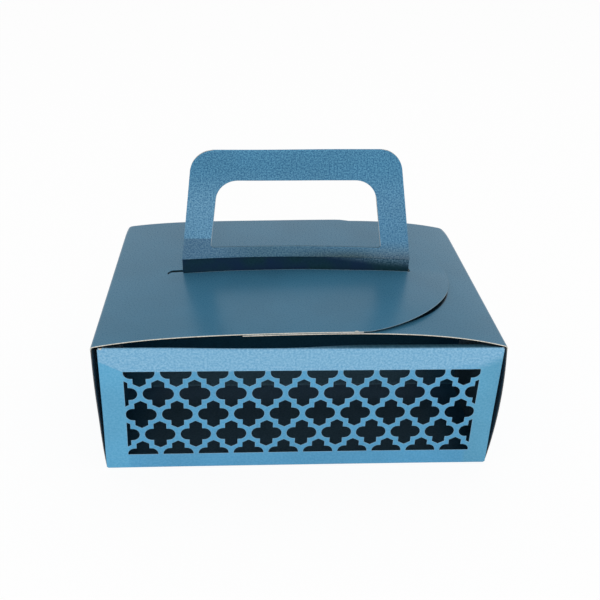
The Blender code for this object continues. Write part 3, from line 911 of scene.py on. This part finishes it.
def side_card(name, side, finish):
    lid_height = LID_HEIGHT[side]
    rise = [(QUARTER, pi / 2), (lid_height, 0)]

    def form(u, v, w):
        x, z = followed((FLAT_HALF, 0), 0, rise, u - CARD_START, w, 1)
        sunk = racked(side * HALF_WIDTH, 0) * smooth(lid_height / 2, 0, z)
        return side * (x + spread(side, max(z, 0))) + sunk, v, z

    def top(y):
        return lid_height - crease_round(side, y)

    half = SIDE_HALF_DEPTH
    steps = [-half, *spaced(-half, half, LID_CELL / 2), half]
    outline = [(CARD_START, -half), *[(top(y), y) for y in steps], (CARD_START, half)]
    across = bend_places(CARD_START, QUARTER, 1) + spaced(CORNER_ROLL, lid_height, WALL_CELL)
    up = spaced(-half, half, WALL_CELL)

    def joined(u, v):
        return u < CARD_START + NEAR or u > top(v) - NEAR

    made = card(name, outline, form, finish, (), across, up, joined)
    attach(made, "box")
    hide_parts(name.replace("_card", "_wall"))


def base_card(finish):
    u, v = FLAT_HALF, HALF_DEPTH - CORNER_ROLL
    outline = [(-u, -v), (u, -v), (u, v), (-u, v)]
    across = spaced(-u, u, WALL_CELL * 2)
    up = spaced(-v, v, WALL_CELL * 2)

    def form(u, v, w):
        return u + racked(u, 0), v, w

    made = card("base_card", outline, form, finish, (), across, up, lambda u, v: True)
    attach(made, "box")
    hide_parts("base_panel")


# Lids


def lid_rise(x, y):
    """How far the lids' surface stands over the line between their creases."""
    middle = (LEFT_CREASE + RIGHT_CREASE) / 2
    share = (x - middle) / (RIGHT_CREASE - middle)
    back_share = (y + HALF_DEPTH) / (2 * HALF_DEPTH)
    bow = BOW_FRONT + (BOW_BACK - BOW_FRONT) * back_share
    bow += 4 * BOW_MIDDLE * back_share * (1 - back_share)
    return (bow + BOW_SKEW * share + BOW_FULLNESS * share * share) * (1 - share * share)


def tongue_lift(x, y):
    """How far the upper lid's round end stands off, most towards its front corner."""
    centre = LEFT_CREASE + LEFT_LID_LENGTH - HALF_DEPTH
    if x < centre or y > 0:
        return 0
    reach = hypot(x - centre, y)
    angle = atan2(-y, x - centre)
    towards_front = sin(2 * angle) * (1 - smooth(pi / 4, pi / 2, angle))
    return TONGUE_LIFT * towards_front * smooth(HALF_DEPTH / 2, HALF_DEPTH, reach)


def lid_form(side):
    crease = RIGHT_CREASE if side > 0 else LEFT_CREASE
    height = LID_HEIGHT[side]

    def surface(run, y):
        """Height of the lid's outside at a run inwards from its crease."""
        x = crease - side * run
        lift = tongue_lift(x, y) if side < 0 else 0
        return height + lid_rise(x, y) + lift

    def outside(u, y):
        """Run inwards from the crease and height, where u is measured along the card."""
        round_off = crease_round(side, y)
        if u >= LID_ROLL:
            run = u + (round_off - LID_ROLL) * (1 - smooth(LID_ROLL, REAR_ROLL_REACH, u))
            return run, surface(run, y)
        share = (u + LID_ROLL) / (2 * LID_ROLL)
        foot_height = height - round_off
        foot_run = side * crease - HALF_WIDTH - spread(side, foot_height)
        keep, turn, reach = (1 - share) ** 2, 2 * share * (1 - share), share**2
        return (
            keep * foot_run + reach * round_off,
            keep * foot_height + turn * height + reach * surface(round_off, y),
        )

    def form(u, v, w):
        if side < 0 and w > BOARD / 2:
            w += slit_burr(u + LEFT_CREASE, v)
        step = LID_ROLL / BEND_STEPS / 4
        run, z = outside(u, v)
        before = outside(u - step, v) if u > -LID_ROLL + step else (run, z)
        after = outside(u + step, v)
        heading = atan2(after[1] - before[1], after[0] - before[0])
        run += w * sin(heading)
        z -= w * cos(heading)
        return crease - side * run, v, z

    return form


def slit_middle(u):
    """Where the slit's middle runs at u, from its hooked left end to the neck."""
    return SLIT_LEVEL - SLIT_HOOK_DROP * smooth(SLOT_LEFT + SLIT_HOOK_RUN, SLOT_LEFT, u)


def slit_burr(u, v):
    """How far the lid's reverse hangs down on the slit's rear lip."""
    on_lip = abs(v - slit_middle(u) - SLIT_WIDTH / 2) < CUT_RIM / 2
    return SLIT_BURR if on_lip and SLOT_LEFT - CUT_RIM < u < NECK_LEFT + CUT_RIM * 2 else 0


def slot_front(u):
    """Where the slot's front lip runs at u."""
    left = SLOT_PUSH_LEFT * smooth(NECK_LEFT / 2, NECK_LEFT, u)
    right = SLOT_PUSH_RIGHT * smooth(0, SLOT_RIGHT / 2, u)
    return SLOT_FRONT - left - right


def slot_outline():
    """The upper lid's slot: open around the neck, and a hooked slit to the left of it."""
    half = SLIT_WIDTH / 2
    steps = range(SLIT_HOOK_STEPS + 1)
    places = [SLOT_LEFT + SLIT_HOOK_RUN * step / SLIT_HOOK_STEPS for step in steps]
    places.append(NECK_LEFT + CUT_RIM)
    lower = [(u, slit_middle(u) - half) for u in places]
    upper = [(u, slit_middle(u) + half) for u in places]
    start = NECK_LEFT + CUT_RIM * 3
    lower += [(u, slot_front(u)) for u in (start, *spaced(start, SLOT_RIGHT, LID_CELL), SLOT_RIGHT)]
    upper += [(SLOT_RIGHT, SLOT_BACK)]
    return [(u - LEFT_CREASE, v) for u, v in lower + upper[::-1]]


def lid_card(name, side, outline, finish, **cuts):
    """One lid; cuts holds what differs in its holes and its edges."""
    length = LEFT_LID_LENGTH if side < 0 else RIGHT_LID_LENGTH
    across = bend_places(-LID_ROLL, 2 * LID_ROLL, 2) + spaced(LID_ROLL, length, LID_CELL)
    up = spaced(-HALF_DEPTH, HALF_DEPTH, LID_CELL)
    cuts |= {"across": across, "up": up, "joined": lambda u, v: u < NEAR - LID_ROLL}
    made = card(name, outline, lid_form(side), finish, **cuts)
    body = name.replace("_card", "")
    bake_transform(made)
    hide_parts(body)


def lid_cards(upper, lower):
    half = HALF_DEPTH
    tongue = LEFT_LID_LENGTH - half
    outline = [(-LID_ROLL, half), (-LID_ROLL, -half)]
    for step in range(TONGUE_STEPS + 1):
        angle = pi * (step / TONGUE_STEPS - 1 / 2)
        reach = half + TONGUE_FULLNESS * smooth(FULL_START, FULL_END, abs(angle))
        v = min(max(reach * sin(angle), -half), half)
        outline.append((tongue + reach * cos(angle), v))

    def on_front(u, v):
        return v < MM / 2 - half

    def in_slot(u, v):
        return abs(v) < half / 10 and u < tongue

    def edge_of(u, v):
        """The slot's edges and most of the round end's are painted dark as shade, others are bare.
        """
        slot_end = u > SLOT_RIGHT - LEFT_CREASE - NEAR
        # painted shade on these cut edges
        painted_in_shade = in_slot(u, v) and not slot_end or u > tongue + DARK_EDGE_START
        return LATTICE_EDGE if painted_in_shade else CUT_EDGE

    def rimmed(u, v):
        """The slot's front lip beside the neck and the card's front edge show a rim."""
        beside_neck = u + LEFT_CREASE > SLOT_WIDTH - FOOT_HALF
        return v < -LAYER and beside_neck if in_slot(u, v) else v < -half / 3

    cuts = {"holes": [slot_outline()], "edge_of": edge_of, "rimmed": rimmed}
    lid_card("left_lid_card", -1, outline, upper, **cuts)
    slit = RIGHT_CREASE - LOWER_SLIT_END
    free = RIGHT_LID_LENGTH
    outline = [(-LID_ROLL, -half), (-LID_ROLL, half), (free, half), (free, SLOT_BACK)]
    outline += [(slit, SLOT_BACK), (slit, SLOT_FRONT), (free, SLOT_FRONT), (free, -half)]
    lid_card("right_lid_card", 1, outline, lower, rimmed=lambda u, v: v < -half / 2)


# Divider and handle


def half_handle(height):
    """Half the handle's width at a height over its crease."""
    narrowing = FOOT_HALF - TOP_HALF
    return FOOT_HALF - narrowing * height / HANDLE_RISE


def handle_shift(z):
    """The handle leans a little to the left."""
    share = (z - HANDLE_CREASE) / HANDLE_RISE
    return HANDLE_FOOT_SHIFT + (HANDLE_TOP_SHIFT - HANDLE_FOOT_SHIFT) * max(share, 0)


def divider_card(finish):
    """The upright card at mid depth, with a foot on the base and a neck for the handle."""
    foot_top = LAYER + BOARD
    foot_run = FOOT_DEPTH - FOOT_ROLL
    bend = pi / 2 * FOOT_ROLL
    start = (BOARD / 2 + FOOT_ROLL + foot_run, foot_top)
    runs = [(foot_run, 0), (bend, -pi / 2), (HANDLE_TOP, 0)]
    upright = foot_top + FOOT_ROLL
    first = upright - bend - foot_run

    def form(u, v, w):
        y, z = followed(start, pi, runs, v - first, w, 1)
        return u + HANDLE_FOOT_SHIFT * smooth(RIM, RIM + BOARD, z), y, z

    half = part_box("divider")[1].x
    foot_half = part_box("divider_foot")[1].x
    neck = FOOT_HALF
    top = HANDLE_CREASE - CREASE_HALF
    right = [(foot_half, first), (foot_half, upright - bend)]
    right += [(half, upright), (half, RIM), (neck, RIM), (neck, top)]
    outline = right + [(-u, v) for u, v in reversed(right)]
    up = spaced(first, upright - bend, WALL_CELL) + bend_places(upright - bend, bend, 1)
    up += spaced(upright, RIM, WALL_CELL) + spaced(RIM, top, MM)
    across = spaced(-half, half, WALL_CELL)

    def joined(u, v):
        return v > top - NEAR

    made = card("divider_card", outline, form, finish, (), across, up, joined)
    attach(made, "box")
    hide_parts("divider", "divider_foot")


def handle_card(finish):
    """Two plies of one card, folded over along the grip's top edge."""
    flat_top = HANDLE_TOP - HEM_ROLL
    turn = pi * HEM_ROLL
    low = HANDLE_CREASE - CREASE_HALF
    runs = [(flat_top - low, 0), (turn, pi), (flat_top, 0)]

    def form(u, v, w):
        y, z = followed((BOARD / 2, low), pi / 2, runs, v - low, w, 1)
        share = max(z - HANDLE_CREASE, 0) / HANDLE_RISE
        twist = HANDLE_TWIST * u / TOP_HALF * share * share
        droop = HANDLE_DROOP * share * smooth(TOP_HALF / 2, -TOP_HALF / 2, u)
        return u + handle_shift(z), y + twist, z - droop

    def on_rear(u, z):
        """Where a point of the rear ply, or of the fold over it, lies on the flat card."""
        rise = max(z - flat_top, 0) / HEM_ROLL
        return u, min(z, flat_top) + HEM_ROLL * asin(min(rise, 1))

    def on_front(u, z):
        return u, 2 * flat_top + turn - on_rear(u, z)[1]

    def side_points(bottom, radius):
        foot = half_handle(bottom - HANDLE_CREASE)
        corners = [(0, bottom, 0), (foot, bottom, 0)]
        corners += [(TOP_HALF, HANDLE_TOP, radius), (0, HANDLE_TOP, 0)]
        return rounded(corners)[1:-1]

    def whole_side(radius):
        """One side's edge, up the rear ply and down the front ply."""
        rear = [on_rear(u, z) for u, z in side_points(low, radius)]
        front = [on_front(u, z) for u, z in reversed(side_points(front_foot(1), radius)[:-1])]
        return rear + front

    def window():
        top = HANDLE_TOP - GRIP_BAR
        foot = half_handle(WINDOW_SILL)
        head = half_handle(top - HANDLE_CREASE)
        corners = [
            (LEFT_LEG_WIDTH - foot, SILL, WINDOW_FOOT_RADIUS),
            (foot - RIGHT_LEG_FOOT, SILL, WINDOW_FOOT_RADIUS),
            (head - RIGHT_LEG_TOP, top, RIGHT_WINDOW_RADIUS),
            (LEFT_LEG_WIDTH - head, top, LEFT_WINDOW_RADIUS),
        ]
        outline = rounded(corners)
        left, right = outline[CORNER_STEPS][0], outline[CORNER_STEPS + 1][0]
        inner, centre = (right - left) / 2, (right + left) / 2
        shares = [2 * step / CORNER_STEPS - 1 for step in range(1, CORNER_STEPS)]
        arch = [(centre + inner * t, SILL + SILL_ARCH * (1 - t * t)) for t in shares]
        return outline[: CORNER_STEPS + 1] + arch + outline[CORNER_STEPS + 1 :]

    def front_foot(share):
        return HANDLE_CREASE + FRONT_PLY_RISE - FRONT_PLY_DIP * share * share

    foot = half_handle(front_foot(1) - HANDLE_CREASE)
    shares = [1 - 2 * step / CORNER_STEPS for step in range(1, CORNER_STEPS)]
    under = [on_front(foot * share, front_foot(share)) for share in shares]
    left = [(-u, v) for u, v in reversed(whole_side(LEFT_GRIP_RADIUS))]
    outline = whole_side(RIGHT_GRIP_RADIUS) + under + left
    holes = [window(), [on_front(u, z) for u, z in window()]]
    crease_top = HANDLE_CREASE + CREASE_HALF
    up = spaced(low, crease_top, CREASE_HALF / 5) + [crease_top]
    up += spaced(crease_top, flat_top, HANDLE_CELL) + bend_places(flat_top, turn, 2)
    up += spaced(flat_top + turn, 2 * flat_top + turn - HANDLE_CREASE, HANDLE_CELL)
    across = spaced(-FOOT_HALF, FOOT_HALF, HANDLE_CELL)

    def over_sill(v):
        z = v if v < flat_top else 2 * flat_top + turn - v
        return z - SILL

    def edge_of(u, v):
        """The sill's cut edge is darker, the others are bare board."""
        on_sill = abs(over_sill(v)) < WINDOW_FOOT_RADIUS * 0.8
        return LATTICE_EDGE if on_sill else CUT_EDGE

    def rimmed(u, v):
        """Only the window's upright sides show a rim, painted as a pale highlight."""
        in_width = abs(u) < TOP_HALF - CUT_RIM
        return in_width and WINDOW_FOOT_RADIUS < over_sill(v) < GRIP_HALF

    def joined(u, v):
        return v < low + NEAR

    name = "handle_card"
    made = card(name, outline, form, finish, holes, across, up, joined, edge_of, rimmed)
    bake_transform(made)
    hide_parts("handle_rear_ply", "handle_front_ply", "handle_top_fold")


# Stage


def white_for_camera(tree, share):
    """The share of plain white, for rays that see it straight or reflected."""
    path = node(tree, "ShaderNodeLightPath")
    seen = calc("MAXIMUM", path.outputs["Is Camera Ray"], path.outputs["Is Glossy Ray"])
    seen = calc("MAXIMUM", seen, path.outputs["Is Transmission Ray"])
    return times(seen, share)


def make_floor():
    made = bpy.data.materials.new("studio_floor")
    made.use_nodes = True
    tree = made.node_tree
    tree.nodes.remove(tree.nodes["Principled BSDF"])
    matte = node(tree, "ShaderNodeBsdfDiffuse")
    matte.inputs["Color"].default_value = FLOOR_TONE
    glow = node(tree, "ShaderNodeEmission")
    inputs = {0: white_for_camera(tree, FLOOR_WHITE), 1: matte.outputs[0], 2: glow.outputs[0]}
    mix = fed("ShaderNodeMixShader", inputs)
    tree.links.new(mix.outputs[0], tree.nodes["Material Output"].inputs["Surface"])
    bm = bmesh.new()
    ops.create_circle(bm, cap_ends=True, segments=96, radius=FLOOR_RADIUS)
    mesh = bpy.data.meshes.new("studio_floor")
    bm.to_mesh(mesh)
    bm.free()
    mesh.materials.append(made)
    floor = placed("studio_floor", mesh)
    floor.location.z = -FLOOR_DROP


def make_world():
    world = bpy.data.worlds.new("studio")
    world.use_nodes = True
    bpy.context.scene.world = world
    tree = world.node_tree
    background = tree.nodes["Background"]
    background.inputs["Color"].default_value = (1, 1, 1, 1)
    seen = white_for_camera(tree, 1)
    tree.links.new(ranged(seen, 0, 1, WORLD_LEVEL, 1), background.inputs["Strength"])


def area_light(name, place, size, power):
    """A round lamp that faces the middle of the object."""
    data = bpy.data.lights.new(name, "AREA")
    data.shape = "DISK"
    data.size = size
    data.energy = power
    lamp = placed(name, data)
    lamp.location = place
    lamp.rotation_mode = "QUATERNION"
    towards = Vector((0, 0, HANDLE_TOP / 2)) - lamp.location
    lamp.rotation_quaternion = towards.to_track_quat("-Z", "Y")


def make_camera():
    data = bpy.data.cameras.new("camera")
    data.sensor_width = SENSOR
    data.lens = SENSOR * FOCAL_PIXELS / IMAGE_SIZE
    data.clip_start = 0.01
    camera = placed("camera", data)
    turn = Euler((pi / 2 - CAMERA_PITCH, 0, -CAMERA_YAW)).to_matrix()
    turn = (turn @ Matrix.Rotation(CAMERA_ROLL, 3, "Z")).to_4x4()
    camera.matrix_world = Matrix.Translation(CAMERA_PLACE) @ turn
    bpy.context.scene.camera = camera


def make_stage():
    make_world()
    make_floor()
    area_light("front_softbox", **FRONT_LAMP)
    area_light("top_softbox", **TOP_LAMP)
    make_camera()
    bpy.context.scene.view_settings.view_transform = "Standard"


def main():
    finishes = make_finishes()
    base_card(finishes["base"])
    lattice_card("front_card", finishes["front"], True)
    lattice_card("rear_card", finishes["front"], False)
    side_card("left_card", -1, finishes["wall"])
    side_card("right_card", 1, finishes["wall"])
    divider_card(finishes["divider"])
    lid_cards(finishes["upper_lid"], finishes["lower_lid"])
    handle_card(finishes["handle"])
    make_stage()


main()
